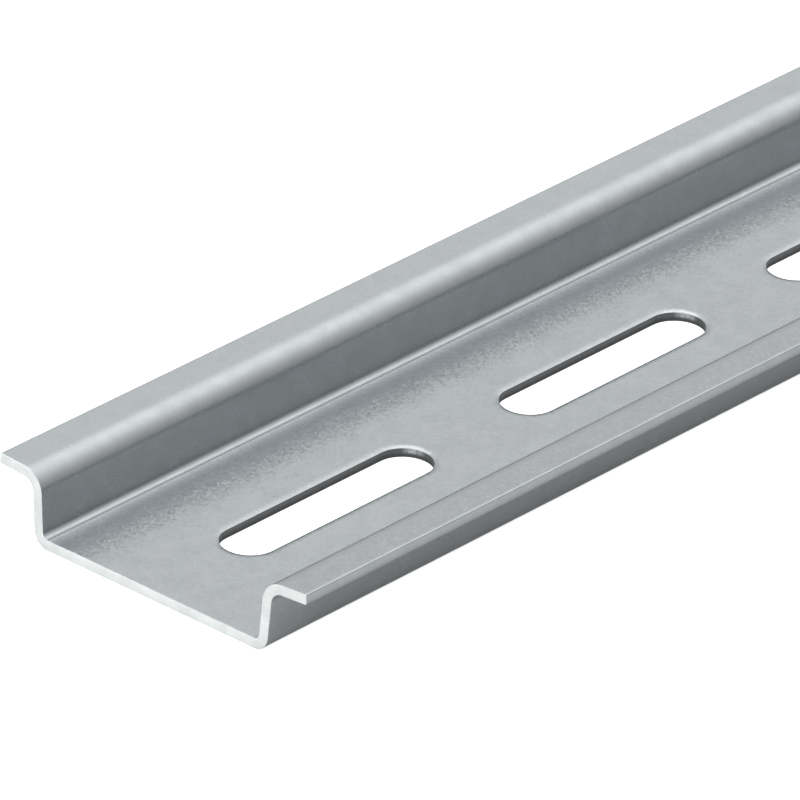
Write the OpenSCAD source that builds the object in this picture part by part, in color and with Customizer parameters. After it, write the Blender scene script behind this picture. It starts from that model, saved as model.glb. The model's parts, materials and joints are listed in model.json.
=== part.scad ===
// A slotted mounting rail of top-hat section: one strip of zinc-plated steel, punched with
// long slots, rolled to shape and cut to length. It lies along X with its open channel
// upwards, and its origin is at the middle of its underside.

/* [Rail] */
// Length that the rail is cut to
rail_length = 1000; // [60:1:2000]
// Width over both flanges
rail_width = 35; // [32:0.5:60]
// Height from the underside of the base to the top of the flange tips
rail_height = 7.3; // [6.3:0.1:16]

/* [Strip] */
// Thickness of the steel strip
strip_thickness = 1; // [0.8:0.1:1.5]
// Radius on the inside of the bends from the base up to the webs
lower_radius = 0.6; // [0.4:0.1:1.6]
// Radius on the inside of the bends from the webs out to the flanges
upper_radius = 1.2; // [0.4:0.1:1.6]
// Radius that the slit edges of the strip are rounded to
edge_radius = 0.15; // [0.05:0.05:0.35]

/* [Section] */
// Width over the outer faces of the two webs, halfway up the rail
web_span = 27; // [16:0.5:29]
// How far each web leans outwards from upright, in degrees
web_lean = 4; // [0:0.5:8]
// How far each flange rises towards its tip, in degrees
flange_rise = 4; // [0:0.5:8]

/* [Slots] */
// Length of a slot, over its round ends
slot_length = 25; // [8:0.5:33]
// Width of a slot
slot_width = 5.2; // [3:0.1:7]
// Distance from the middle of one slot to the middle of the next
slot_pitch = 36; // [28:1:100]
// Solid strip left between the cut end and the first slot
end_margin = 9.8; // [3:0.1:40]

/* [Hidden] */
$fn = 96;

// Angles that the strip turns through, from the base to a web and from a web to its flange
lower_turn = 90 - web_lean;
upper_turn = lower_turn - flange_rise;
// Radius of the upper bends on their outside, which is the strip's upper face there
crown_radius = upper_radius + strip_thickness;
// Half the width of the channel at its floor, with its corners taken as sharp
channel_half = web_span / 2 - strip_thickness / cos(web_lean)
    - (rail_height / 2 - strip_thickness) * tan(web_lean);
// Half of the base that stays flat between its two bends
base_half = channel_half - lower_radius * tan(lower_turn / 2);
// What the rounding of a tip takes off the width on one side, and off the height
tip_loss = edge_radius * (sin(flange_rise) + cos(flange_rise) - 1);
// What a web and its flange still have to cover, sideways and upwards, beside their bends
side_reach = rail_width / 2 - base_half - (lower_radius + crown_radius) * cos(web_lean)
    + upper_radius * sin(flange_rise) + tip_loss;
climb = rail_height - strip_thickness - lower_radius
    + (lower_radius + crown_radius) * sin(web_lean) - crown_radius * cos(flange_rise) + tip_loss;
web_length = (climb * cos(flange_rise) - side_reach * sin(flange_rise)) / cos(web_lean + flange_rise);
flange_length = (side_reach * cos(web_lean) - climb * sin(web_lean)) / cos(web_lean + flange_rise);
// Whole slots that fit between the two end margins
slot_count = 1 + floor((rail_length - 2 * end_margin - slot_length) / slot_pitch);

// A flat stretch of the strip's section, from the origin along X, with its upper face on y = 0
module flat_stretch(length) {
    translate([0, -strip_thickness])
        square([length, strip_thickness]);
}

// A bend in the strip's section, with the radius on its inside. It turns upwards where the
// angle is positive, and its children go on from its end.
module bend(angle, radius) {
    outside = radius + strip_thickness;
    overrun = 2 * outside;
    centre = angle > 0 ? radius : -outside;
    translate([0, centre]) {
        difference() {
            circle(r = outside);
            circle(r = radius);
            translate([-overrun, -overrun])
                square([overrun, 2 * overrun]);
            rotate(angle)
                translate([0, -overrun])
                    square([overrun, 2 * overrun]);
        }
        rotate(angle)
            translate([0, -centre])
                children();
    }
}

// What rounding takes off a corner at the origin, with the strip on its lower left
module corner_waste() {
    difference() {
        translate([-edge_radius, -edge_radius])
            square(2 * edge_radius);
        translate([-edge_radius, -edge_radius])
            circle(r = edge_radius);
        translate([-2 * edge_radius, -2 * edge_radius])
            square([edge_radius, 4 * edge_radius]);
        translate([-2 * edge_radius, -2 * edge_radius])
            square([4 * edge_radius, edge_radius]);
    }
}

// A flange's section, with its slit edge rounded
module flange_stretch() {
    difference() {
        flat_stretch(flange_length);
        translate([flange_length, 0])
            corner_waste();
        translate([flange_length, -strip_thickness])
            mirror([0, 1])
                corner_waste();
    }
}

// Half of the section: half the base, then a web and its flange
module half_section() {
    translate([0, strip_thickness]) {
        flat_stretch(base_half);
        translate([base_half, 0])
            bend(lower_turn, lower_radius) {
                flat_stretch(web_length);
                translate([web_length, 0])
                    bend(-upper_turn, upper_radius)
                        flange_stretch();
            }
    }
}

module section() {
    half_section();
    mirror([1, 0])
        half_section();
}

// One end of a slot: a half disc, flat on x = 0
module slot_end() {
    difference() {
        circle(d = slot_width);
        translate([-slot_width, -slot_width])
            square([slot_width, 2 * slot_width]);
    }
}

module slot_outline() {
    straight = slot_length - slot_width;
    square([straight, slot_width], center = true);
    for (side = [0, 1])
        mirror([side, 0])
            translate([straight / 2, 0])
                slot_end();
}

// The punched slots, in a row that starts at the end with negative X
module slots() {
    first = -rail_length / 2 + end_margin + slot_length / 2;
    for (i = [0 : slot_count - 1])
        translate([first + i * slot_pitch, 0, -strip_thickness])
            linear_extrude(3 * strip_thickness)
                slot_outline();
}

module rail() {
    color([0.74, 0.76, 0.78])
        difference() {
            translate([-rail_length / 2, 0, 0])
                rotate([90, 0, 90])
                    linear_extrude(rail_length)
                        section();
            slots();
        }
}

rail();
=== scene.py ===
"""A slotted mounting rail of zinc-plated steel strip, punched, rolled to a top-hat section and
cut to length, on a pale studio floor."""

import json
import math

import bmesh
import bpy
from bpy.props import FloatProperty, FloatVectorProperty, PointerProperty
from mathutils import Matrix, Quaternion, Vector


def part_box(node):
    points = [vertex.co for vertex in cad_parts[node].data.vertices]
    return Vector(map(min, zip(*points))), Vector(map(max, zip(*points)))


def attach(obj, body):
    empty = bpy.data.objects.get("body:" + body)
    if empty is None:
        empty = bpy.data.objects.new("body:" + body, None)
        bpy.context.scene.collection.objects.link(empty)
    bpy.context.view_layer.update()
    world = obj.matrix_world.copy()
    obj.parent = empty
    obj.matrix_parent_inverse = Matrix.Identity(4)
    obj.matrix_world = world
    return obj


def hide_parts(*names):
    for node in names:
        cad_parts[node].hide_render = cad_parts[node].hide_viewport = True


bl_info = {
    "name": "Slotted Mounting Rail",
    "version": (1, 0, 0),
    "blender": (4, 5, 0),
    "location": "3D View > Sidebar > Rail",
    "description": "Builds a punched and rolled mounting rail with its zinc finish, and a studio stage",
    "category": "Add Mesh",
}

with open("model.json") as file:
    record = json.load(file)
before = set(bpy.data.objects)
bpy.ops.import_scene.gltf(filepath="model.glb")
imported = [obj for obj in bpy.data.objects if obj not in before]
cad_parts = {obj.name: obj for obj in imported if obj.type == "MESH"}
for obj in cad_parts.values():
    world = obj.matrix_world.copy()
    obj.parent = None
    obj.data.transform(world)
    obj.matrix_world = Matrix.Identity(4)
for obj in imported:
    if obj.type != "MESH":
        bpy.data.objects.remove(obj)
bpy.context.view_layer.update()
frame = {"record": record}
RAIL_LOW, RAIL_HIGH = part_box("rail")
MM = 0.001

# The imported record's first pair of slots says how the row is punched
SLOT_PAIR = next(m for m in frame["record"]["mounts"] if m["name"] == "slots_01_02")
PITCH = SLOT_PAIR["dims"]["spacing_x_mm"] * MM
FIRST_SLOT = SLOT_PAIR["pos_m"][0] - PITCH / 2 - RAIL_LOW.x
SLOT_WIDTH = 2 * SLOT_PAIR["dims"]["hole_r_mm"] * MM
SLOT_LENGTH = SLOT_PAIR["dims"]["slot_length_mm"] * MM


class RailStrip(bpy.types.PropertyGroup):
    """Sizes of the rail, its strip and its section"""

    length: FloatProperty(
        name="Length",
        description="Length that the rail is cut to",
        default=RAIL_HIGH.x - RAIL_LOW.x,
        unit="LENGTH",
    )
    width: FloatProperty(
        name="Width",
        description="Width over both flanges",
        default=RAIL_HIGH.y - RAIL_LOW.y,
        unit="LENGTH",
    )
    height: FloatProperty(
        name="Height",
        description="Height from the underside of the base to the tips of the flanges",
        default=RAIL_HIGH.z - RAIL_LOW.z,
        unit="LENGTH",
    )
    thickness: FloatProperty(
        name="Strip Thickness",
        description="Thickness of the steel strip",
        default=1 * MM,
        unit="LENGTH",
    )
    lower_radius: FloatProperty(
        name="Lower Bend Radius",
        description="Radius on the inside of the bends from the base to the webs",
        default=0.6 * MM,
        unit="LENGTH",
    )
    upper_radius: FloatProperty(
        name="Upper Bend Radius",
        description="Radius on the inside of the bends from the webs to the flanges",
        default=1.2 * MM,
        unit="LENGTH",
    )
    edge_radius: FloatProperty(
        name="Edge Radius",
        description="Radius that the slit edges of the strip are rounded to",
        default=0.15 * MM,
        unit="LENGTH",
    )
    web_span: FloatProperty(
        name="Web Span",
        description="Width over the outer faces of the two webs, halfway up the rail",
        default=27 * MM,
        unit="LENGTH",
    )
    web_lean: FloatProperty(
        name="Web Lean",
        description="How far each web leans outwards from upright",
        default=math.radians(4),
        subtype="ANGLE",
        unit="ROTATION",
    )
    flange_rise: FloatProperty(
        name="Flange Rise",
        description="How far each flange rises towards its tip",
        default=math.radians(4),
        subtype="ANGLE",
        unit="ROTATION",
    )
    cut_edge: FloatProperty(
        name="Cut Edge",
        description="Width that the cut ends' edges are broken by",
        default=0.05 * MM,
        unit="LENGTH",
    )


class RailSlots(bpy.types.PropertyGroup):
    """Sizes of the punched slots and of their rims"""

    length: FloatProperty(
        name="Slot Length",
        description="Length of a slot, over its round ends",
        default=SLOT_LENGTH,
        unit="LENGTH",
    )
    width: FloatProperty(
        name="Slot Width",
        description="Width of a slot",
        default=SLOT_WIDTH,
        unit="LENGTH",
    )
    pitch: FloatProperty(
        name="Slot Pitch",
        description="Distance from the middle of one slot to the middle of the next",
        default=PITCH,
        unit="LENGTH",
    )
    first: FloatProperty(
        name="First Slot",
        description="Distance from the cut end to the middle of the first slot",
        default=FIRST_SLOT,
        unit="LENGTH",
    )
    roll_over: FloatProperty(
        name="Roll-over",
        description="Radius of the round that the punch drew a slot's upper rim down in",
        default=2.0 * MM,
        unit="LENGTH",
    )
    roll_turn: FloatProperty(
        name="Roll-over Slope",
        description="Slope that a slot's upper rim reaches where the punched wall begins",
        default=math.radians(20.5),
        subtype="ANGLE",
        unit="ROTATION",
    )
    lower_break: FloatProperty(
        name="Lower Break",
        description="Width of the bevel on the lower rim of a slot",
        default=0.05 * MM,
        unit="LENGTH",
    )


class ZincFinish(bpy.types.PropertyGroup):
    """Colours, roughness and relief of the plated, cut and punched steel"""

    plate_colour: FloatVectorProperty(
        name="Plate Colour",
        description="Colour of the zinc plate",
        default=(0.477, 0.503, 0.518),
        subtype="COLOR",
        size=3, min=0, max=1,
    )
    cloud_colour: FloatVectorProperty(
        name="Cloud Colour",
        description="Colour of the plate's duller clouds",
        default=(0.44, 0.466, 0.477),
        subtype="COLOR",
        size=3, min=0, max=1,
    )
    cut_colour: FloatVectorProperty(
        name="Cut Colour",
        description="Colour of the freshly cut ends",
        default=(0.93, 0.95, 0.945),
        subtype="COLOR",
        size=3, min=0, max=1,
    )
    # Partly the bare steel's own colour, partly painted shade: darkened for the shade inside the slots
    # and under the flanges' tips
    wall_and_shade_colour: FloatVectorProperty(
        name="Wall Colour",
        description="Colour of the slots' punched walls",
        default=(0.155, 0.163, 0.165),
        subtype="COLOR",
        size=3, min=0, max=1,
    )
    # Partly the torn steel's own duller colour, partly painted shade that is darker towards the bottom
    # of a slot
    torn_and_shade_colour: FloatVectorProperty(
        name="Torn Colour",
        description="Colour of the walls' torn lower part",
        default=(0.125, 0.133, 0.133),
        subtype="COLOR",
        size=3, min=0, max=1,
    )
    # Painted highlight: the lighter colour of the slots' walls where they face the cut end
    wall_highlight_colour: FloatVectorProperty(
        name="Rubbed Colour",
        description="Colour of the walls where the punch rubbed them bright",
        default=(0.56, 0.58, 0.58),
        subtype="COLOR",
        size=3, min=0, max=1,
    )
    speck_colour: FloatVectorProperty(
        name="Speck Colour",
        description="Colour of the plate's specks",
        default=(0.42, 0.43, 0.43),
        subtype="COLOR",
        size=3, min=0, max=1,
    )
    facet_size: FloatProperty(
        name="Facet Size",
        description="Size of the zinc's crystals",
        default=0.19 * MM,
        unit="LENGTH",
        precision=6,
    )
    facet_tilt: FloatProperty(
        name="Facet Tilt",
        description="How differently the zinc's crystals are tilted",
        default=0.072,
        min=0, max=1,
    )
    grain_size: FloatProperty(
        name="Grain Size",
        description="Size of the plate's fine grain",
        default=0.5 * MM,
        unit="LENGTH",
        precision=6,
    )
    grain_depth: FloatProperty(
        name="Grain Depth",
        description="Depth of the plate's fine grain",
        default=0.008 * MM,
        unit="LENGTH",
        precision=6,
    )
    bent_grain: FloatProperty(
        name="Grain Left",
        description="Share of the grain that the rolls left on the webs and bends",
        default=0.18,
        min=0, max=1,
        subtype="FACTOR",
    )
    cloud_size: FloatProperty(
        name="Cloud Size",
        description="Size of the plate's brighter and duller clouds",
        default=2.2 * MM,
        unit="LENGTH",
        precision=6,
    )
    line_spacing: FloatProperty(
        name="Roll Line Spacing",
        description="Distance between the lines that the rolls leave along the strip",
        default=0.3 * MM,
        unit="LENGTH",
        precision=6,
    )
    line_depth: FloatProperty(
        name="Roll Line Depth",
        description="Depth of the lines that the rolls leave along the strip",
        default=0.0008 * MM,
        unit="LENGTH",
        precision=6,
    )
    floor_bow: FloatProperty(
        name="Floor Bow",
        description="How much higher the channel's floor lies at the back web than at the middle",
        default=0.33 * MM,
        unit="LENGTH",
        precision=6,
    )
    curl_start: FloatProperty(
        name="Curl Start",
        description="Distance from the rail's middle at which the floor's back edge begins to curl up",
        default=10.2 * MM,
        unit="LENGTH",
        precision=6,
    )
    curl_end: FloatProperty(
        name="Curl End",
        description="Distance from the rail's middle to the line that the bending rolls pressed",
        default=11.72 * MM,
        unit="LENGTH",
        precision=6,
    )
    curl_height: FloatProperty(
        name="Curl Height",
        description="How high the floor curls up beside the back web's lower bend",
        default=0.165 * MM,
        unit="LENGTH",
        precision=6,
    )
    plate_rough: FloatProperty(
        name="Plate Roughness",
        description="Roughness of the zinc plate where it is brightest",
        default=0.2,
        min=0, max=1,
    )
    cut_rough: FloatProperty(
        name="Cut Roughness",
        description="Roughness of the sawn ends",
        default=0.85,
        min=0, max=1,
    )
    wall_rough: FloatProperty(
        name="Wall Roughness",
        description="Roughness of a slot's wall where the punch sheared it",
        default=0.34,
        min=0, max=1,
    )
    torn_rough: FloatProperty(
        name="Torn Roughness",
        description="Roughness of a slot's wall where it tore",
        default=0.55,
        min=0, max=1,
    )
    speck_spacing: FloatProperty(
        name="Speck Spacing",
        description="Size of the cells that the plate's specks are strewn over",
        default=1.6 * MM,
        unit="LENGTH",
        precision=6,
    )
    speck_share: FloatProperty(
        name="Speck Share",
        description="Share of those cells that hold a speck",
        default=0.16,
        min=0, max=1,
        subtype="FACTOR",
    )
    saw_spacing: FloatProperty(
        name="Saw Line Spacing",
        description="Distance between the saw's lines on a cut end",
        default=0.09 * MM,
        unit="LENGTH",
        precision=6,
    )
    saw_depth: FloatProperty(
        name="Saw Line Depth",
        description="Depth of the saw's lines on a cut end",
        default=0.004 * MM,
        unit="LENGTH",
        precision=6,
    )
    torn_grain: FloatProperty(
        name="Torn Grain Size",
        description="Size of the grain on the torn part of a slot's wall",
        default=0.16 * MM,
        unit="LENGTH",
        precision=6,
    )
    torn_depth: FloatProperty(
        name="Torn Grain Depth",
        description="Depth of the grain on the torn part of a slot's wall",
        default=0.02 * MM,
        unit="LENGTH",
        precision=6,
    )


class StudioStage(bpy.types.PropertyGroup):
    """Floor, light and camera"""

    floor_colour: FloatVectorProperty(
        name="Floor Colour",
        description="Colour of the studio floor",
        default=(0.93, 0.93, 0.93),
        subtype="COLOR",
        size=3, min=0, max=1,
    )
    floor_size: FloatProperty(
        name="Floor Size",
        description="Width of the studio floor",
        default=24.0,
        unit="LENGTH",
    )
    floor_glow: FloatProperty(
        name="Floor Glow",
        description="Light that the floor sends to the camera, which keeps its shadows faint",
        default=0.75,
    )
    mirrored_colour: FloatVectorProperty(
        name="Mirrored Colour",
        description="Colour of the floor as the rail mirrors it",
        default=(0.62, 0.62, 0.62),
        subtype="COLOR",
        size=3, min=0, max=1,
    )
    mirrored_glow: FloatProperty(
        name="Mirrored Glow",
        description="Light that the floor sends to the rail even in its shadow",
        default=0.03,
    )
    lamp_power: FloatProperty(
        name="Lamp Power",
        description="Power of the soft box over the rail",
        default=26.0,
        unit="POWER",
    )
    lamp_size: FloatProperty(
        name="Lamp Size",
        description="Width of the soft box",
        default=3.0,
        unit="LENGTH",
    )
    lamp_place: FloatVectorProperty(
        name="Lamp Place",
        description="Where the soft box hangs",
        default=(0.0, 0.95, 3.0),
        subtype="TRANSLATION",
        unit="LENGTH",
        size=3,
    )
    sky_strength: FloatProperty(
        name="Sky Strength",
        description="Brightness of the soft light all round",
        default=1.313,
    )
    far_sky: FloatProperty(
        name="Far Sky",
        description="Share of the soft light that is left straight on beyond the rail's far end",
        default=0.5,
        min=0, max=1,
        subtype="FACTOR",
    )
    top_sky: FloatProperty(
        name="Top Sky",
        description="Share of the soft light that is left straight overhead, round the soft box",
        default=0.45,
        min=0, max=1,
        subtype="FACTOR",
    )
    side_light: FloatProperty(
        name="Side Light",
        description="Extra light on the side of the photographed end",
        default=0.6,
    )
    azimuth: FloatProperty(
        name="Azimuth",
        description="Direction that the camera looks in, from +Y towards +X",
        default=math.radians(49.45),
        subtype="ANGLE",
        unit="ROTATION",
    )
    elevation: FloatProperty(
        name="Elevation",
        description="How far the camera looks down",
        default=math.radians(27.98),
        subtype="ANGLE",
        unit="ROTATION",
    )
    roll: FloatProperty(
        name="Roll",
        description="How far the camera is turned about its own line of sight",
        default=math.radians(2.37),
        subtype="ANGLE",
        unit="ROTATION",
    )
    distance: FloatProperty(
        name="Distance",
        description="Distance from the camera to what it aims at",
        default=1.0117,
        unit="LENGTH",
    )
    lens: FloatProperty(
        name="Lens",
        description="Focal length of the camera",
        default=542.07,
        unit="CAMERA",
    )
    sensor: FloatProperty(
        name="Sensor",
        description="Width of the camera's sensor",
        default=36.0,
        unit="CAMERA",
    )
    aim: FloatVectorProperty(
        name="Aim",
        description="Point that the camera aims at, from the middle of the cut end's underside",
        default=(0.01918, -0.01035, 0.01576),
        subtype="TRANSLATION",
        unit="LENGTH",
        size=3,
    )


# Steps that a bend, a rounded slit edge, a roll-over, a broken cut edge and a slot's end are made in
FOLD_STEPS = 16
TIP_STEPS = 4
RIM_STEPS = 5
CUT_EDGE_STEPS = 3
SLOT_END_STEPS = 24
# Width of the flat strips beside a bend or a rim, which keep the flats' shading flat
GUARD = 0.15 * MM
# Base beyond each end of a slot that is made together with the slot
SURROUND = 2 * MM
# Edges that turn by more than this are shaded as hard lines
HARD_TURN = math.radians(35)
# Faces whose normals rise or fall by less than this share are a slot's wall
UPRIGHT = 0.6
# Points nearer to each other than this are one point
SAME = 0.001 * MM
# Places of the two bare steels among the rail's materials, after the zinc plate
CUT, PUNCHED = 1, 2

# Distances from the rail's middle over which the base's finish passes into the bends', and theirs
# into the flanges'
BASE_TO_BEND = (10.4 * MM, 12 * MM)
BEND_TO_FLANGE = (13.8 * MM, 15.2 * MM)
# How strongly clouds, roll lines and grain dull the plate, and how much of it a speck covers
CLOUD_DULLNESS = 0.8
LINE_DULLNESS = 0.1
GRAIN_DULLNESS = 0.2
SPECK_COVER = 0.35
# Roughness that the clouds, the webs and bends, and the specks add to the plate's own
CLOUD_ROUGHNESS = 0.05
BEND_ROUGHNESS = 0.07
SPECK_ROUGHNESS = 0.15
# Distances in from a flange's tip up to which its slit edge is fully darkened, torn and with painted
# shade, and darkened at all
TIP_TEAR_AND_SHADE_FULL = 0.1 * MM
TIP_TEAR_AND_SHADE_END = 0.25 * MM
# Depths under the top of a flange's tip where the cut half of the slit edge ends, and below which
# it is torn and darkened with painted shade, and the share of the torn and shaded colour there
TIP_CUT_ABOVE = 0.4 * MM
TIP_TORN_AND_SHADED_BELOW = 1.1 * MM
TIP_TORN_AND_SHADE_SHARE = 0.45
# How the saw's lines are drawn out across the strip, how strongly they dull a cut end, and the size
# and strength of the clouds on it
SAW_STRETCH = (1.0, 0.05, 1.0)
SAW_DULLNESS = 0.25
CUT_CLOUD_SIZE = 1.5 * MM
CUT_CLOUD_DULLNESS = 0.12
# Heights between which a slot's wall passes from torn, and darker with painted shade, to sheared,
# how much lower and over what length that line wanders
TEAR_FADE = (0.15 * MM, 0.4 * MM)
TEAR_WANDER = 0.3 * MM
TEAR_WAVE = 0.8 * MM
# Way that the part of a slot's wall with the painted highlight faces, and how well a wall has to face
# that way
HIGHLIGHT_SIDE = (-0.93, -0.37, 0.0)
HIGHLIGHT_FADE = (0.9, 1.0)
# How the painted highlight's streaks are drawn out upwards, their width, and the least highlight
# between them
HIGHLIGHT_STRETCH = (1.0, 1.0, 0.3)
HIGHLIGHT_STREAK = 0.35 * MM
HIGHLIGHT_LEAST = 0.35

# Brightness of the sky round the rail's axis, from level behind it, over the top, to level in front
SKY_RAMP = (
    (0.0, 0.56), (0.18, 0.56), (0.22, 0.875), (0.26, 0.63), (0.28, 0.755), (0.32, 0.87), (0.39, 0.97),
    (0.46, 1.14), (0.53, 1.15), (0.60, 1.09), (0.69, 0.855), (0.79, 0.615), (0.88, 0.475), (1.0, 0.33),
)
# Where the sky's change beyond the far end, overhead and beyond the cut end starts and is complete,
# as shares of the way to straight there
FAR_FADE = (0.78, 0.98)
TOP_FADE = (0.78, 0.95)
SIDE_FADE = (0.2, 0.9)
# Least brightness of the sky
DARKEST_SKY = 0.02


def new_ends(made, kind):
    """The vertices, edges or faces among what an operator made."""
    return [item for item in made if isinstance(item, kind)]


def run_flat(bm, edge, heading, length):
    """Carries the strip's edge straight on, and returns the edge at its new end."""
    made = bmesh.ops.extrude_edge_only(bm, edges=[edge])["geom"]
    step = Vector((0, math.cos(heading), math.sin(heading))) * length
    bmesh.ops.translate(bm, vec=step, verts=new_ends(made, bmesh.types.BMVert))
    return new_ends(made, bmesh.types.BMEdge)[0]


def fold(bm, edge, heading, turn, radius):
    """Bends the strip through turn, and returns the edge at the end of the bend."""
    side = math.copysign(1, turn)
    towards_axis = Vector((0, -math.sin(heading), math.cos(heading))) * side
    inner = max(edge.verts, key=lambda v: v.co.dot(towards_axis))
    axis_point = inner.co + towards_axis * radius
    made = bmesh.ops.spin(
        bm, geom=[edge], cent=axis_point, axis=(1, 0, 0), angle=turn, steps=FOLD_STEPS
    )["geom_last"]
    return new_ends(made, bmesh.types.BMEdge)[0]


def flat_base_half(strip):
    """Half of the base that stays flat between its two bends."""
    channel_half = (
        strip.web_span / 2
        - strip.thickness / math.cos(strip.web_lean)
        - (strip.height / 2 - strip.thickness) * math.tan(strip.web_lean)
    )
    return channel_half - strip.lower_radius * math.tan((math.pi / 2 - strip.web_lean) / 2)


def web_and_flange_lengths(strip):
    """Lengths of a web and a flange that bring the section out at its width and height."""
    lean, rise = strip.web_lean, strip.flange_rise
    outer = strip.upper_radius + strip.thickness
    both = strip.lower_radius + outer
    tip_loss = strip.edge_radius * (math.sin(rise) + math.cos(rise) - 1)
    sideways = (
        strip.width / 2 - flat_base_half(strip) - both * math.cos(lean)
        + strip.upper_radius * math.sin(rise) + tip_loss
    )
    upwards = (
        strip.height - strip.thickness - strip.lower_radius + both * math.sin(lean)
        - outer * math.cos(rise) + tip_loss
    )
    web = upwards * math.cos(rise) - sideways * math.sin(rise)
    flange = sideways * math.cos(lean) - upwards * math.sin(lean)
    return web / math.cos(lean + rise), flange / math.cos(lean + rise)


def fold_half_section(bm, strip, x):
    """Folds half of the section out of the strip: base, bend, web, bend and flange."""
    web, flange = web_and_flange_lengths(strip)
    lower_turn = math.pi / 2 - strip.web_lean
    upper_turn = lower_turn - strip.flange_rise
    tip = strip.edge_radius + GUARD
    bottom = bm.verts.new((x, 0, 0))
    top = bm.verts.new((x, 0, strip.thickness))
    edge = bm.edges.new((bottom, top))
    edge = run_flat(bm, edge, 0, flat_base_half(strip) - GUARD)
    edge = run_flat(bm, edge, 0, GUARD)
    edge = fold(bm, edge, 0, lower_turn, strip.lower_radius)
    for length in (GUARD, web - 2 * GUARD, GUARD):
        edge = run_flat(bm, edge, lower_turn, length)
    edge = fold(bm, edge, lower_turn, -upper_turn, strip.upper_radius)
    for length in (GUARD, flange - GUARD - tip, tip):
        edge = run_flat(bm, edge, strip.flange_rise, length)
    bmesh.ops.bevel(
        bm, geom=edge.verts[:], offset=strip.edge_radius, offset_type="OFFSET",
        affect="VERTICES", segments=TIP_STEPS, profile=0.5, material=-1,
    )


def everything(bm):
    """All of a mesh's vertices, edges and faces."""
    return bm.verts[:] + bm.edges[:] + bm.faces[:]


def draw_out_section(bm, strip, stations):
    """Both halves of the section, drawn out to the rail's length and divided at the stations."""
    fold_half_section(bm, strip, -strip.length / 2)
    bmesh.ops.mirror(bm, geom=everything(bm), matrix=Matrix(), merge_dist=SAME, axis="Y")
    made = bmesh.ops.extrude_face_region(bm, geom=bm.faces[:], use_keep_orig=True)["geom"]
    bmesh.ops.translate(bm, vec=(strip.length, 0, 0), verts=new_ends(made, bmesh.types.BMVert))
    for x in stations:
        bmesh.ops.bisect_plane(
            bm, geom=everything(bm), dist=SAME, plane_co=(x, 0, 0), plane_no=(1, 0, 0)
        )


def in_patch(item, middle, patch):
    """Whether all of an edge or face lies in the patch of base round a slot."""
    return all(
        abs(v.co.x - middle) < patch.x and abs(v.co.y) < patch.y and v.co.z < patch.z
        for v in item.verts
    )


def open_patches(bm, middles, patch):
    """Takes the base's faces out where the slots go, and leaves the outer edges of each patch."""
    gone = [f for f in bm.faces if any(in_patch(f, x, patch) for x in middles)]
    bmesh.ops.delete(bm, geom=gone, context="FACES_ONLY")
    loose = [e for e in bm.edges if e.is_wire]
    bmesh.ops.delete(bm, geom=loose, context="EDGES")


def sweep_on(bm, edges, offset):
    """Carries a chain of edges on by offset, and returns the chain at its new place."""
    made = bmesh.ops.extrude_edge_only(bm, edges=edges)["geom"]
    bmesh.ops.translate(bm, vec=offset, verts=new_ends(made, bmesh.types.BMVert))
    return new_ends(made, bmesh.types.BMEdge)


def sweep_round(bm, edges, centre):
    """Carries a chain of edges half a turn round centre, clockwise as seen from above."""
    made = bmesh.ops.spin(
        bm, geom=edges, cent=centre, axis=(0, 0, 1), angle=-math.pi, steps=SLOT_END_STEPS
    )["geom_last"]
    return new_ends(made, bmesh.types.BMEdge)


def rim_profile(bm, slots, strip, x):
    """The line down a slot's wall: flat, roll-over, wall, lower bevel and flat again."""
    radius = slots.width / 2
    chain = []

    def reach(vert, offset):
        made = bmesh.ops.extrude_vert_indiv(bm, verts=[vert])
        bmesh.ops.translate(bm, vec=offset, verts=made["verts"])
        chain.extend(made["edges"])
        return made["verts"][0]

    outside = radius + slots.roll_over * math.sin(slots.roll_turn) + GUARD
    vert = bm.verts.new((x, outside, strip.thickness))
    vert = reach(vert, (0, -GUARD, 0))
    before = set(bm.edges)
    made = bmesh.ops.spin(
        bm, geom=[vert], cent=(x, vert.co.y, strip.thickness - slots.roll_over),
        axis=(1, 0, 0), angle=slots.roll_turn, steps=RIM_STEPS,
    )["geom_last"]
    chain.extend(e for e in bm.edges if e not in before)
    vert = new_ends(made, bmesh.types.BMVert)[0]
    vert = reach(vert, (0, 0, slots.lower_break - vert.co.z))
    vert = reach(vert, (0, slots.lower_break, -slots.lower_break))
    reach(vert, (0, outside - vert.co.y, 0))
    return chain


def punch_slot(bm, strip, slots, x):
    """The rim and wall of one slot, swept round its outline."""
    straight = slots.length - slots.width
    chain = rim_profile(bm, slots, strip, x - straight / 2)
    chain = sweep_on(bm, chain, (straight, 0, 0))
    chain = sweep_round(bm, chain, (x + straight / 2, 0, 0))
    chain = sweep_on(bm, chain, (-straight, 0, 0))
    sweep_round(bm, chain, (x - straight / 2, 0, 0))
    bmesh.ops.remove_doubles(bm, verts=bm.verts[:], dist=SAME)


def fill_patch(bm, middle, patch, z):
    """Fills the base at height z between a patch's outer edges and its slot's rim."""
    edges = [
        e for e in bm.edges
        if len(e.link_faces) < 2 and in_patch(e, middle, patch)
        and all(abs(v.co.z - z) < SAME for v in e.verts)
    ]
    bmesh.ops.triangle_fill(bm, use_beauty=True, use_dissolve=False, edges=edges)


def repeat_patch(bm, middles, patch):
    """Copies the first slot, with the base round it, to each other slot's place."""
    first = middles[0]
    faces = [f for f in bm.faces if in_patch(f, first, patch)]
    for x in middles[1:]:
        made = bmesh.ops.duplicate(bm, geom=faces)["geom"]
        verts = new_ends(made, bmesh.types.BMVert)
        bmesh.ops.translate(bm, vec=(x - first, 0, 0), verts=verts)
    bmesh.ops.remove_doubles(bm, verts=bm.verts[:], dist=SAME)


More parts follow.
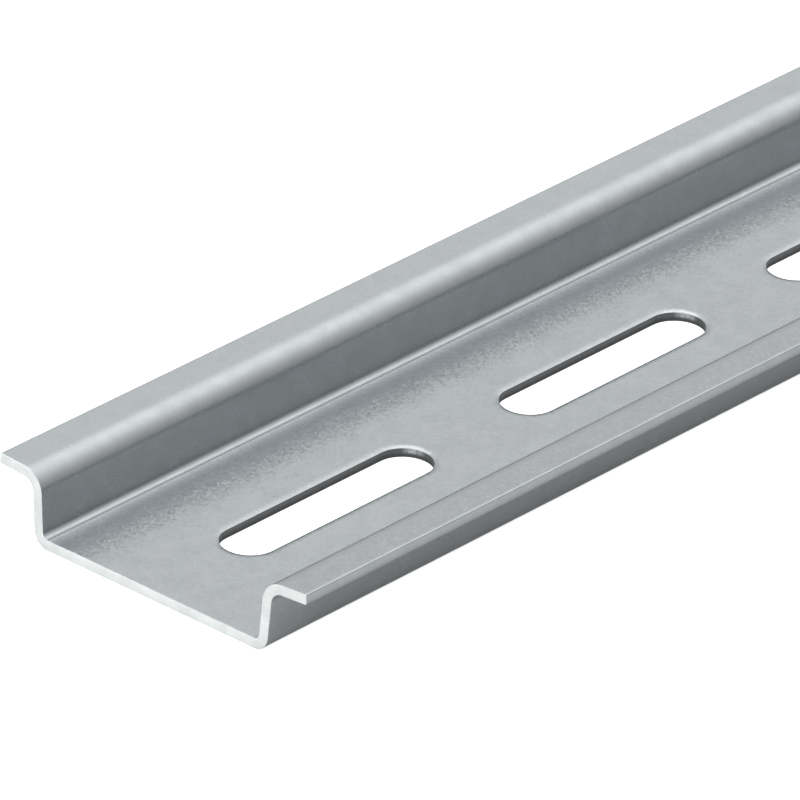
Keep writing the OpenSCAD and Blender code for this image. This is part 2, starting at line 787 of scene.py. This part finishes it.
def break_cut_edges(bm, strip):
    """Marks the cut ends and takes the sharpness off their edges."""
    end = strip.length / 2 - SAME
    ends = {f for f in bm.faces if all(abs(v.co.x) > end for v in f.verts)}
    for face in ends:
        face.material_index = CUT
    outline = [e for e in bm.edges if sum(f in ends for f in e.link_faces) == 1]
    bmesh.ops.bevel(
        bm, geom=outline, offset=strip.cut_edge, offset_type="OFFSET",
        affect="EDGES", segments=CUT_EDGE_STEPS, profile=0.5, material=-1,
    )


def mark_walls(bm, slots):
    """Gives the slots' punched walls their own material."""
    reach = slots.width / 2 + SAME
    for face in bm.faces:
        if all(abs(v.co.y) < reach for v in face.verts) and abs(face.normal.z) < UPRIGHT:
            face.material_index = PUNCHED


def shade_smooth(bm):
    """Smooth shading, with a hard line only where the surface turns sharply."""
    for face in bm.faces:
        face.smooth = True
    for edge in bm.edges:
        edge.smooth = edge.calc_face_angle(0) < HARD_TURN


def rail_mesh(strip, slots):
    """The whole rail as one closed mesh."""
    half = strip.length / 2
    count = 1 + math.floor((strip.length - slots.first - slots.length / 2) / slots.pitch)
    middles = [slots.first - half + i * slots.pitch for i in range(count)]
    patch = Vector((
        slots.length / 2 + SURROUND, flat_base_half(strip) - GUARD, strip.thickness
    ))
    stations = [x + side * patch.x for x in middles for side in (-1, 1)]
    stations += [side * (half - strip.cut_edge - GUARD) for side in (-1, 1)]
    bm = bmesh.new()
    draw_out_section(bm, strip, stations)
    bm.normal_update()
    patch += Vector((SAME, SAME, SAME))
    open_patches(bm, middles, patch)
    punch_slot(bm, strip, slots, middles[0])
    for z in (0, strip.thickness):
        fill_patch(bm, middles[0], patch, z)
    repeat_patch(bm, middles, patch)
    bmesh.ops.recalc_face_normals(bm, faces=bm.faces[:])
    mark_walls(bm, slots)
    break_cut_edges(bm, strip)
    bm.normal_update()
    shade_smooth(bm)
    open_edges = sum(not e.is_manifold for e in bm.edges)
    if open_edges:
        raise RuntimeError(f"the rail's mesh has {open_edges} edges that don't close")
    mesh = bpy.data.meshes.new("mounting_rail")
    bm.to_mesh(mesh)
    bm.free()
    return mesh


def connect(tree, value, socket):
    """Links an output to a socket, or sets a plain value on it."""
    if isinstance(value, bpy.types.NodeSocket):
        tree.links.new(value, socket)
    else:
        socket.default_value = value


def calculate(tree, operation, *values, clamp=False):
    """A math node's result."""
    node = tree.nodes.new("ShaderNodeMath")
    node.operation = operation
    node.use_clamp = clamp
    for value, socket in zip(values, node.inputs):
        connect(tree, value, socket)
    return node.outputs[0]


def calculate_vector(tree, operation, *values):
    """A vector math node's result."""
    node = tree.nodes.new("ShaderNodeVectorMath")
    node.operation = operation
    for value, socket in zip(values, node.inputs):
        connect(tree, value, socket)
    return node.outputs["Value" if operation == "DOT_PRODUCT" else "Vector"]


def weigh(tree, start, *parts):
    """A start value, with each part added at its weight."""
    total = start
    for part, weight in parts:
        total = calculate(tree, "MULTIPLY_ADD", part, weight, total)
    return total


def spread(tree, value, low, high, at_low=0.0, at_high=1.0, soft=False):
    """Maps a value from one range to another, held at its ends, with a soft passage if asked."""
    node = tree.nodes.new("ShaderNodeMapRange")
    node.interpolation_type = "SMOOTHSTEP" if soft else "LINEAR"
    node.clamp = True
    for item, socket in zip((value, low, high, at_low, at_high), node.inputs):
        connect(tree, item, socket)
    return node.outputs[0]


def noise(tree, place, scale, detail=2.0, rough=0.5):
    """Soft noise between 0 and 1 over a place."""
    node = tree.nodes.new("ShaderNodeTexNoise")
    connect(tree, place, node.inputs["Vector"])
    connect(tree, scale, node.inputs["Scale"])
    node.inputs["Detail"].default_value = detail
    node.inputs["Roughness"].default_value = rough
    return node.outputs[0]


def blend(tree, share, first, second):
    """A colour between two, by a share."""
    node = tree.nodes.new("ShaderNodeMix")
    node.data_type = "RGBA"
    colours = [socket for socket in node.inputs if socket.type == "RGBA"]
    connect(tree, share, node.inputs[0])
    connect(tree, first, colours[0])
    connect(tree, second, colours[1])
    return next(socket for socket in node.outputs if socket.type == "RGBA")


def new_group(name, inputs, outputs):
    """An empty node group, with its inputs by name and the node that its outputs go into."""
    group = bpy.data.node_groups.new(name, "ShaderNodeTree")
    for label, value in inputs:
        kind = "NodeSocketVector" if value is None else "NodeSocketFloat"
        socket = group.interface.new_socket(label, in_out="INPUT", socket_type=kind)
        if value is not None:
            socket.default_value = value
    for label in outputs:
        kind = "NodeSocketVector" if label == "Normal" else "NodeSocketFloat"
        group.interface.new_socket(label, in_out="OUTPUT", socket_type=kind)
    given = group.nodes.new("NodeGroupInput").outputs
    return group, given, group.nodes.new("NodeGroupOutput").inputs


def use_group(tree, group, **values):
    """Places a group in a material, and returns its outputs."""
    node = tree.nodes.new("ShaderNodeGroup")
    node.node_tree = group
    for label, value in values.items():
        connect(tree, value, node.inputs[label])
    return node.outputs


def grain_group():
    """Fine grain of a plated surface: two sizes of soft bumps."""
    group, given, out = new_group(
        "plate grain", (("Place", None), ("Size", 0.4 * MM), ("Coarse Scale", 0.38)),
        ("Height", "Shade"),
    )
    fine = calculate(group, "DIVIDE", 1.0, given["Size"])
    coarse = calculate(group, "MULTIPLY", fine, given["Coarse Scale"])
    near = noise(group, given["Place"], fine, detail=1.0)
    wide = noise(group, given["Place"], coarse, detail=0.0)
    both = calculate(group, "ADD", wide, near)
    group.links.new(calculate(group, "SUBTRACT", both, 1.0), out["Height"])
    group.links.new(spread(group, near, low=0.3, high=0.7), out["Shade"])
    return group


def facet_group():
    """Tiny flat facets, each tilted its own way, as the crystals of zinc are."""
    group, given, out = new_group(
        "zinc facets", (("Place", None), ("Size", 0.3 * MM), ("Tilt", 0.1)), ("Normal",)
    )
    cells = group.nodes.new("ShaderNodeTexVoronoi")
    group.links.new(given["Place"], cells.inputs["Vector"])
    group.links.new(calculate(group, "DIVIDE", 1.0, given["Size"]), cells.inputs["Scale"])
    # A cell's colour, less the middle grey, points its own way
    own_way = calculate_vector(group, "SUBTRACT", cells.outputs["Color"], (0.5, 0.5, 0.5))
    lean = calculate_vector(group, "MULTIPLY", own_way, given["Tilt"])
    surface = group.nodes.new("ShaderNodeNewGeometry").outputs["Normal"]
    leaning = calculate_vector(group, "ADD", surface, lean)
    group.links.new(calculate_vector(group, "NORMALIZE", leaning), out["Normal"])
    return group


def cloud_group():
    """Large soft clouds, broken up by smaller ones."""
    group, given, out = new_group(
        "plate clouds",
        (("Place", None), ("Size", 2 * MM), ("Small Scale", 6.0), ("Break-up", 0.3)),
        ("Mask",),
    )
    scale = calculate(group, "DIVIDE", 1.0, given["Size"])
    small_scale = calculate(group, "MULTIPLY", scale, given["Small Scale"])
    large = noise(group, given["Place"], scale, detail=3.0, rough=0.6)
    small = noise(group, given["Place"], small_scale, rough=0.6)
    offset = calculate(group, "SUBTRACT", small, 0.5)
    mixed = weigh(group, large, (offset, given["Break-up"]))
    group.links.new(spread(group, mixed, low=0.32, high=0.68, soft=True), out["Mask"])
    return group


def line_group():
    """Long faint lines, drawn along X as rolls draw them."""
    group, given, out = new_group(
        "roll lines", (("Place", None), ("Spacing", 0.3 * MM), ("Stretch", 90.0)),
        ("Height", "Mask"),
    )
    scale = calculate(group, "DIVIDE", 1.0, given["Spacing"])
    along = calculate(group, "DIVIDE", 1.0, given["Stretch"])
    stretch = group.nodes.new("ShaderNodeCombineXYZ")
    for value, socket in zip((along, 1.0, 1.0), stretch.inputs):
        connect(group, value, socket)
    drawn_out = calculate_vector(group, "MULTIPLY", given["Place"], stretch.outputs[0])
    drawn = noise(group, drawn_out, scale, detail=3.0, rough=0.65)
    group.links.new(drawn, out["Height"])
    group.links.new(spread(group, drawn, low=0.62, high=0.78), out["Mask"])
    return group


def speck_group():
    """Small round specks, strewn so that only a share of the cells holds one."""
    group, given, out = new_group(
        "specks", (("Place", None), ("Spacing", 1.5 * MM), ("Radius", 0.1), ("Share", 0.2)),
        ("Mask",),
    )
    cells = group.nodes.new("ShaderNodeTexVoronoi")
    group.links.new(given["Place"], cells.inputs["Vector"])
    group.links.new(calculate(group, "DIVIDE", 1.0, given["Spacing"]), cells.inputs["Scale"])
    chances = group.nodes.new("ShaderNodeSeparateColor")
    group.links.new(cells.outputs["Color"], chances.inputs[0])
    held = calculate(group, "LESS_THAN", chances.outputs[0], given["Share"])
    radius = weigh(group, given["Radius"], (chances.outputs[1], given["Radius"]))
    near = spread(group, cells.outputs["Distance"], 0.0, radius, 1.0, 0.0, soft=True)
    group.links.new(calculate(group, "MULTIPLY", near, held), out["Mask"])
    return group


def new_material(name):
    """A material with its node tree, its shader's sockets and the place on the piece."""
    material = bpy.data.materials.new(name)
    material.use_nodes = True
    tree = material.node_tree
    shader = tree.nodes["Principled BSDF"].inputs
    place = tree.nodes.new("ShaderNodeTexCoord").outputs["Object"]
    return material, tree, shader, place


def raise_surface(tree, shader, *reliefs, normal=None):
    """Stacks bumps on a normal, each a height and its depth in metres, and feeds the shader."""
    for height, depth in reliefs:
        bump = tree.nodes.new("ShaderNodeBump")
        bump.inputs["Distance"].default_value = depth
        tree.links.new(height, bump.inputs["Height"])
        if normal is not None:
            tree.links.new(normal, bump.inputs["Normal"])
        normal = bump.outputs[0]
    tree.links.new(normal, shader["Normal"])


def split(tree, place):
    """A place's way across the rail, and its height."""
    parts = tree.nodes.new("ShaderNodeSeparateXYZ")
    tree.links.new(place, parts.inputs[0])
    return parts.outputs["Y"], parts.outputs["Z"]


def floor_rise(tree, across, finish, start, power):
    """How the floor rises towards the back web, up to the line that the bending rolls pressed."""
    share = spread(tree, across, start, finish.curl_end)
    return calculate(tree, "POWER", share, power)


def bent_part(tree, across):
    """The webs and bends, which the rolls pressed smooth: 1 there, 0 on the base and flanges."""
    off_middle = calculate(tree, "ABSOLUTE", across)
    off_base = spread(tree, off_middle, *BASE_TO_BEND)
    off_flange = spread(tree, off_middle, *BEND_TO_FLANGE, 1.0, 0.0)
    return calculate(tree, "MULTIPLY", off_base, off_flange)


def torn_and_shaded_tip(tree, across, height):
    """The lower half of the slit edges, which broke away where the upper half was cut, and painted
    shade that darkens the edge towards its bottom.
    """
    off_middle = calculate(tree, "ABSOLUTE", across)
    outer = spread(
        tree, off_middle, RAIL_HIGH.y - TIP_TEAR_AND_SHADE_END, RAIL_HIGH.y - TIP_TEAR_AND_SHADE_FULL, 0.0, TIP_TORN_AND_SHADE_SHARE
    )
    low = spread(
        tree, height, RAIL_HIGH.z - TIP_TORN_AND_SHADED_BELOW, RAIL_HIGH.z - TIP_CUT_ABOVE, 1.0, 0.0, soft=True
    )
    return calculate(tree, "MULTIPLY", outer, low)


def plated_steel(finish, groups):
    """Satin zinc plate over rolled strip."""
    material, tree, shader, place = new_material("zinc plate")
    across, height = split(tree, place)
    bent = bent_part(tree, across)
    grain_left = weigh(tree, 1.0, (bent, finish.bent_grain - 1))
    grain = use_group(tree, groups["grain"], Place=place, Size=finish.grain_size)
    clouds = use_group(tree, groups["clouds"], Place=place, Size=finish.cloud_size)
    lines = use_group(tree, groups["lines"], Place=place, Spacing=finish.line_spacing)
    specks = use_group(
        tree, groups["specks"], Place=place, Spacing=finish.speck_spacing, Share=finish.speck_share
    )
    facets = use_group(
        tree, groups["facets"], Place=place, Size=finish.facet_size,
        Tilt=calculate(tree, "MULTIPLY", grain_left, finish.facet_tilt),
    )

    dull = weigh(
        tree, 0.0,
        (clouds["Mask"], CLOUD_DULLNESS), (lines["Mask"], LINE_DULLNESS),
        (grain["Shade"], GRAIN_DULLNESS),
    )
    clouded = blend(tree, dull, (*finish.plate_colour, 1), (*finish.cloud_colour, 1))
    spotted = blend(
        tree, weigh(tree, 0.0, (specks["Mask"], SPECK_COVER)), clouded, (*finish.speck_colour, 1)
    )
    # The flanges' slit edges: torn below, and darkened towards the bottom with painted shade
    torn = blend(tree, torn_and_shaded_tip(tree, across, height), spotted, (*finish.wall_and_shade_colour, 1))
    tree.links.new(torn, shader["Base Color"])
    shader["Metallic"].default_value = 1
    rough = weigh(
        tree, finish.plate_rough,
        (clouds["Mask"], CLOUD_ROUGHNESS), (bent, BEND_ROUGHNESS), (specks["Mask"], SPECK_ROUGHNESS),
    )
    tree.links.new(rough, shader["Roughness"])

    raise_surface(
        tree, shader,
        (floor_rise(tree, across, finish, start=0.0, power=2.0), finish.floor_bow),
        (floor_rise(tree, across, finish, start=finish.curl_start, power=2.5), finish.curl_height),
        (lines["Height"], finish.line_depth),
        (calculate(tree, "MULTIPLY", grain["Height"], grain_left), finish.grain_depth),
        normal=facets["Normal"],
    )
    return material


def cut_steel(finish, groups):
    """The bare ends that the saw left, with fine lines across the strip."""
    material, tree, shader, place = new_material("cut steel")
    drawn_out = calculate_vector(tree, "MULTIPLY", place, SAW_STRETCH)
    lines = noise(tree, drawn_out, 1 / finish.saw_spacing, rough=0.6)
    clouds = use_group(tree, groups["clouds"], Place=place, Size=CUT_CLOUD_SIZE)
    dull = weigh(tree, 0.0, (lines, SAW_DULLNESS), (clouds["Mask"], CUT_CLOUD_DULLNESS))
    colour = blend(tree, dull, (*finish.cut_colour, 1), (*finish.cloud_colour, 1))
    tree.links.new(colour, shader["Base Color"])
    shader["Metallic"].default_value = 1
    shader["Roughness"].default_value = finish.cut_rough
    raise_surface(tree, shader, (lines, finish.saw_depth))
    return material


def painted_wall_highlight(tree, place):
    """A painted highlight in streaks on a slot's wall, where it faces the cut end: at its far end,
    towards the back.
    """
    surface = tree.nodes.new("ShaderNodeNewGeometry").outputs["Normal"]
    facing = calculate_vector(tree, "DOT_PRODUCT", surface, HIGHLIGHT_SIDE)
    there = spread(tree, facing, *HIGHLIGHT_FADE, soft=True)
    drawn_out = calculate_vector(tree, "MULTIPLY", place, HIGHLIGHT_STRETCH)
    drawn = noise(tree, drawn_out, 1 / HIGHLIGHT_STREAK, rough=0.6)
    streaks = spread(tree, drawn, low=0.3, high=0.6, at_low=HIGHLIGHT_LEAST)
    return calculate(tree, "MULTIPLY", there, streaks)


def punched_steel(finish, groups):
    """A slot's wall: smooth where the punch sheared it, torn and duller below; painted shade darkens it
    all, and a painted highlight lies on its far end.
    """
    material, tree, shader, place = new_material("punched wall")
    height = split(tree, place)[1]
    # Lower part of the wall: torn, and darker there with painted shade
    wander = noise(tree, place, 1 / TEAR_WAVE)
    torn = spread(tree, weigh(tree, height, (wander, -TEAR_WANDER)), *TEAR_FADE, 1.0, 0.0, soft=True)
    grain = use_group(tree, groups["grain"], Place=place, Size=finish.torn_grain)
    # Painted highlight on the upper, sheared part of the wall
    painted_highlight = painted_wall_highlight(tree, place)
    sheared = blend(tree, painted_highlight, (*finish.wall_and_shade_colour, 1), (*finish.wall_highlight_colour, 1))
    colour = blend(tree, torn, sheared, (*finish.torn_and_shade_colour, 1))
    tree.links.new(colour, shader["Base Color"])
    shader["Metallic"].default_value = 1
    rough = spread(tree, torn, 0.0, 1.0, finish.wall_rough, finish.torn_rough)
    tree.links.new(rough, shader["Roughness"])
    raise_surface(tree, shader, (calculate(tree, "MULTIPLY", grain["Height"], torn), finish.torn_depth))
    return material


def glowing_floor(tree, colour, strength):
    """A plain floor that also sends out a little light of its own."""
    plain = tree.nodes.new("ShaderNodeBsdfDiffuse")
    plain.inputs["Color"].default_value = (*colour, 1)
    glow = tree.nodes.new("ShaderNodeEmission")
    glow.inputs["Strength"].default_value = strength
    both = tree.nodes.new("ShaderNodeAddShader")
    tree.links.new(plain.outputs[0], both.inputs[0])
    tree.links.new(glow.outputs[0], both.inputs[1])
    return both.outputs[0]


def floor_material(stage):
    """A pale floor, which the rail mirrors darker than the camera sees it."""
    material = bpy.data.materials.new("pale floor")
    material.use_nodes = True
    tree = material.node_tree
    tree.nodes.clear()
    output = tree.nodes.new("ShaderNodeOutputMaterial")
    path = tree.nodes.new("ShaderNodeLightPath")
    mix = tree.nodes.new("ShaderNodeMixShader")
    tree.links.new(path.outputs["Is Camera Ray"], mix.inputs[0])
    mirrored = glowing_floor(tree, stage.mirrored_colour, stage.mirrored_glow)
    seen = glowing_floor(tree, stage.floor_colour, stage.floor_glow)
    tree.links.new(mirrored, mix.inputs[1])
    tree.links.new(seen, mix.inputs[2])
    tree.links.new(mix.outputs[0], output.inputs[0])
    return material


def add_floor(scene, stage):
    """The floor that the rail lies on."""
    bm = bmesh.new()
    bmesh.ops.create_grid(bm, x_segments=1, y_segments=1, size=stage.floor_size / 2)
    mesh = bpy.data.meshes.new("floor")
    bm.to_mesh(mesh)
    bm.free()
    mesh.materials.append(floor_material(stage))
    floor = bpy.data.objects.new("floor", mesh)
    scene.collection.objects.link(floor)


def sky_round_axis(tree, y, z):
    """The sky's brightness by its place on the way round the rail's axis."""
    node = tree.nodes.new("ShaderNodeValToRGB")
    elements = node.color_ramp.elements
    while len(elements) < len(SKY_RAMP):
        elements.new(0.5)
    for element, (position, value) in zip(elements, SKY_RAMP):
        element.position = position
        element.color = (value, value, value, 1)
    turn = calculate(tree, "ARCTAN2", z, y)
    tree.links.new(calculate(tree, "DIVIDE", turn, math.pi, clamp=True), node.inputs[0])
    return node.outputs[0]


def add_sky(scene, stage):
    """A soft sky, dimmer beyond the far end and overhead, and brighter beyond the cut end. The
    camera itself sees it plain white."""
    world = bpy.data.worlds.new("studio")
    scene.world = world
    world.use_nodes = True
    tree = world.node_tree
    towards = tree.nodes.new("ShaderNodeSeparateXYZ")
    tree.links.new(tree.nodes.new("ShaderNodeTexCoord").outputs["Generated"], towards.inputs[0])
    x, y, z = towards.outputs
    far = spread(tree, x, *FAR_FADE, 1.0, stage.far_sky, soft=True)
    top = spread(tree, z, *TOP_FADE, 1.0, stage.top_sky, soft=True)
    share_left = calculate(tree, "MULTIPLY", far, top)
    round_axis = calculate(tree, "MULTIPLY", sky_round_axis(tree, y, z), share_left)
    towards_cut = calculate(tree, "MULTIPLY", x, -1.0)
    side = spread(tree, towards_cut, *SIDE_FADE, 0.0, stage.side_light, soft=True)
    total = calculate(tree, "MAXIMUM", calculate(tree, "ADD", round_axis, side), DARKEST_SKY)
    mix = tree.nodes.new("ShaderNodeMix")
    path = tree.nodes.new("ShaderNodeLightPath")
    tree.links.new(path.outputs["Is Camera Ray"], mix.inputs["Factor"])
    tree.links.new(calculate(tree, "MULTIPLY", total, stage.sky_strength), mix.inputs["A"])
    mix.inputs["B"].default_value = 1.0
    background = tree.nodes["Background"].inputs
    background["Color"].default_value = (1, 1, 1, 1)
    tree.links.new(mix.outputs[0], background["Strength"])


def add_soft_box(scene, stage):
    """The square lamp overhead, a little behind the rail."""
    lamp = bpy.data.lights.new("soft box", "AREA")
    lamp.shape = "SQUARE"
    lamp.size = stage.lamp_size
    lamp.energy = stage.lamp_power
    holder = bpy.data.objects.new("soft box", lamp)
    holder.location = stage.lamp_place
    scene.collection.objects.link(holder)


def add_camera(scene, stage):
    """The photograph's view: from in front of the cut end, looking down along the rail."""
    level = math.cos(stage.elevation)
    sight = Vector((
        math.sin(stage.azimuth) * level,
        math.cos(stage.azimuth) * level,
        -math.sin(stage.elevation),
    ))
    end = Vector((RAIL_LOW.x, 0, 0))
    data = bpy.data.cameras.new("camera")
    data.lens = stage.lens
    data.sensor_width = stage.sensor
    camera = bpy.data.objects.new("camera", data)
    camera.rotation_mode = "QUATERNION"
    turn = Quaternion((0, 0, 1), stage.roll)
    camera.rotation_quaternion = sight.to_track_quat("-Z", "Y") @ turn
    camera.location = end + Vector(stage.aim) - sight * stage.distance
    scene.collection.objects.link(camera)
    scene.camera = camera


class RAIL_OT_add_rail(bpy.types.Operator):
    """Build the slotted rail in place of its plain solid"""

    bl_idname = "rail.add_rail"
    bl_label = "Add Mounting Rail"

    def execute(self, context):
        scene = context.scene
        mesh = rail_mesh(scene.rail_strip, scene.rail_slots)
        rail = bpy.data.objects.new("mounting_rail", mesh)
        scene.collection.objects.link(rail)
        groups = {
            "grain": grain_group(),
            "facets": facet_group(),
            "clouds": cloud_group(),
            "lines": line_group(),
            "specks": speck_group(),
        }
        for steel in (plated_steel, cut_steel, punched_steel):
            mesh.materials.append(steel(scene.rail_finish, groups))
        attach(rail, "root")
        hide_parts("rail")
        return {"FINISHED"}


class RAIL_OT_add_stage(bpy.types.Operator):
    """Add the floor, the soft light and the camera"""

    bl_idname = "rail.add_stage"
    bl_label = "Add Studio Stage"

    def execute(self, context):
        scene = context.scene
        for add in (add_floor, add_sky, add_soft_box, add_camera):
            add(scene, scene.rail_stage)
        scene.view_settings.view_transform = "Standard"
        return {"FINISHED"}


class RAIL_PT_sidebar(bpy.types.Panel):
    """Sizes, finish and stage of the rail"""

    bl_label = "Mounting Rail"
    bl_idname = "RAIL_PT_sidebar"
    bl_space_type = "VIEW_3D"
    bl_region_type = "UI"
    bl_category = "Rail"

    def draw(self, context):
        for group in (context.scene.rail_strip, context.scene.rail_slots,
                      context.scene.rail_finish, context.scene.rail_stage):
            column = self.layout.box().column()
            for name in group.bl_rna.properties.keys():
                if name not in ("rna_type", "name"):
                    column.prop(group, name)
        self.layout.operator(RAIL_OT_add_rail.bl_idname)
        self.layout.operator(RAIL_OT_add_stage.bl_idname)


CLASSES = (
    RailStrip, RailSlots, ZincFinish, StudioStage,
    RAIL_OT_add_rail, RAIL_OT_add_stage, RAIL_PT_sidebar,
)


def register():
    for item in CLASSES:
        bpy.utils.register_class(item)
    bpy.types.Scene.rail_strip = PointerProperty(type=RailStrip)
    bpy.types.Scene.rail_slots = PointerProperty(type=RailSlots)
    bpy.types.Scene.rail_finish = PointerProperty(type=ZincFinish)
    bpy.types.Scene.rail_stage = PointerProperty(type=StudioStage)


def unregister():
    for name in ("rail_strip", "rail_slots", "rail_finish", "rail_stage"):
        delattr(bpy.types.Scene, name)
    for item in reversed(CLASSES):
        bpy.utils.unregister_class(item)


def main():
    """Builds the rail and its stage."""
    register()
    bpy.ops.rail.add_rail()
    bpy.ops.rail.add_stage()


if __name__ == "__main__":
    main()
